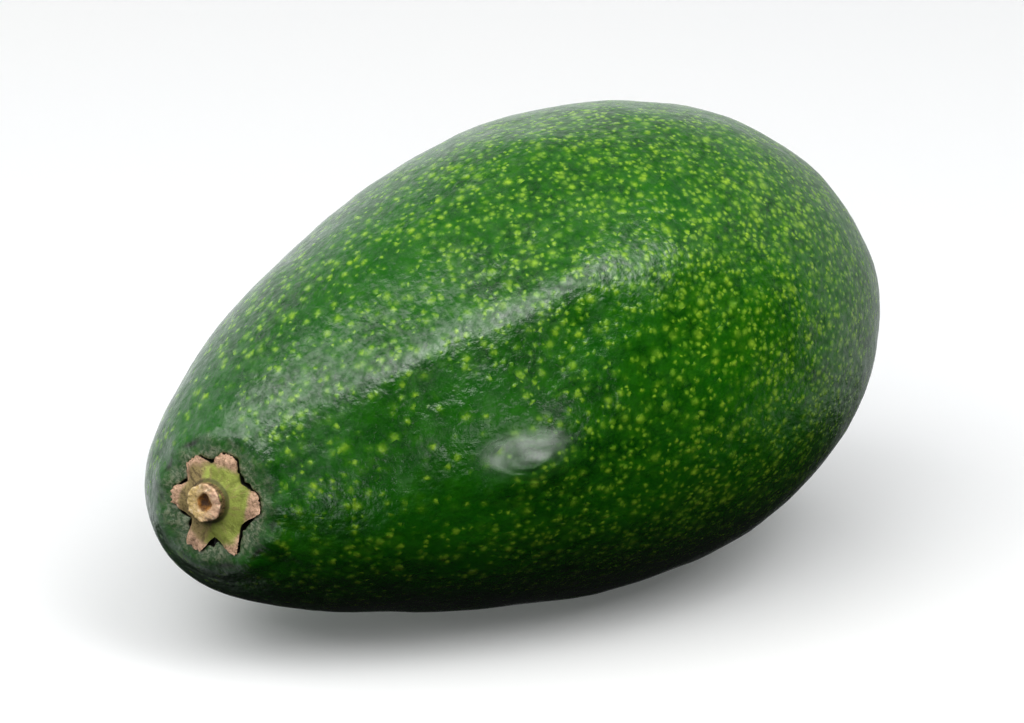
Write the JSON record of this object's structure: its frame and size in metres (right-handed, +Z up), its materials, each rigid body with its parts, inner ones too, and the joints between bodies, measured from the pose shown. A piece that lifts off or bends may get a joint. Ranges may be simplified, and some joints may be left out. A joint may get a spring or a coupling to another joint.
{
  "type": "avocado",
  "caption": "Whole smooth-skinned green avocado lying on its side: a long egg-shaped fruit with a drooping neck, a lobed stem button with a short cut stub, and a small scar at the blossom end.",
  "frame": {"origin": "centre of the bounding box in plan, at the level of the flat spot that the fruit rests on", "axes": "+X from the stem end to the blossom end, along the fruit's length; +Z up; the stem button faces -X and partly -Y"},
  "size_m": [0.1178, 0.0726, 0.0721],
  "materials": {
    "skin": "waxy, glossy dark green skin with fine yellow-green specks and low pebbling",
    "stem": "dull olive-green woody disc with pinkish-tan lobe ends and a pale dry cut"
  },
  "bodies": {
    "root": {"fruit": "skin", "stem_button": "stem"}
  },
  "joints": []
}
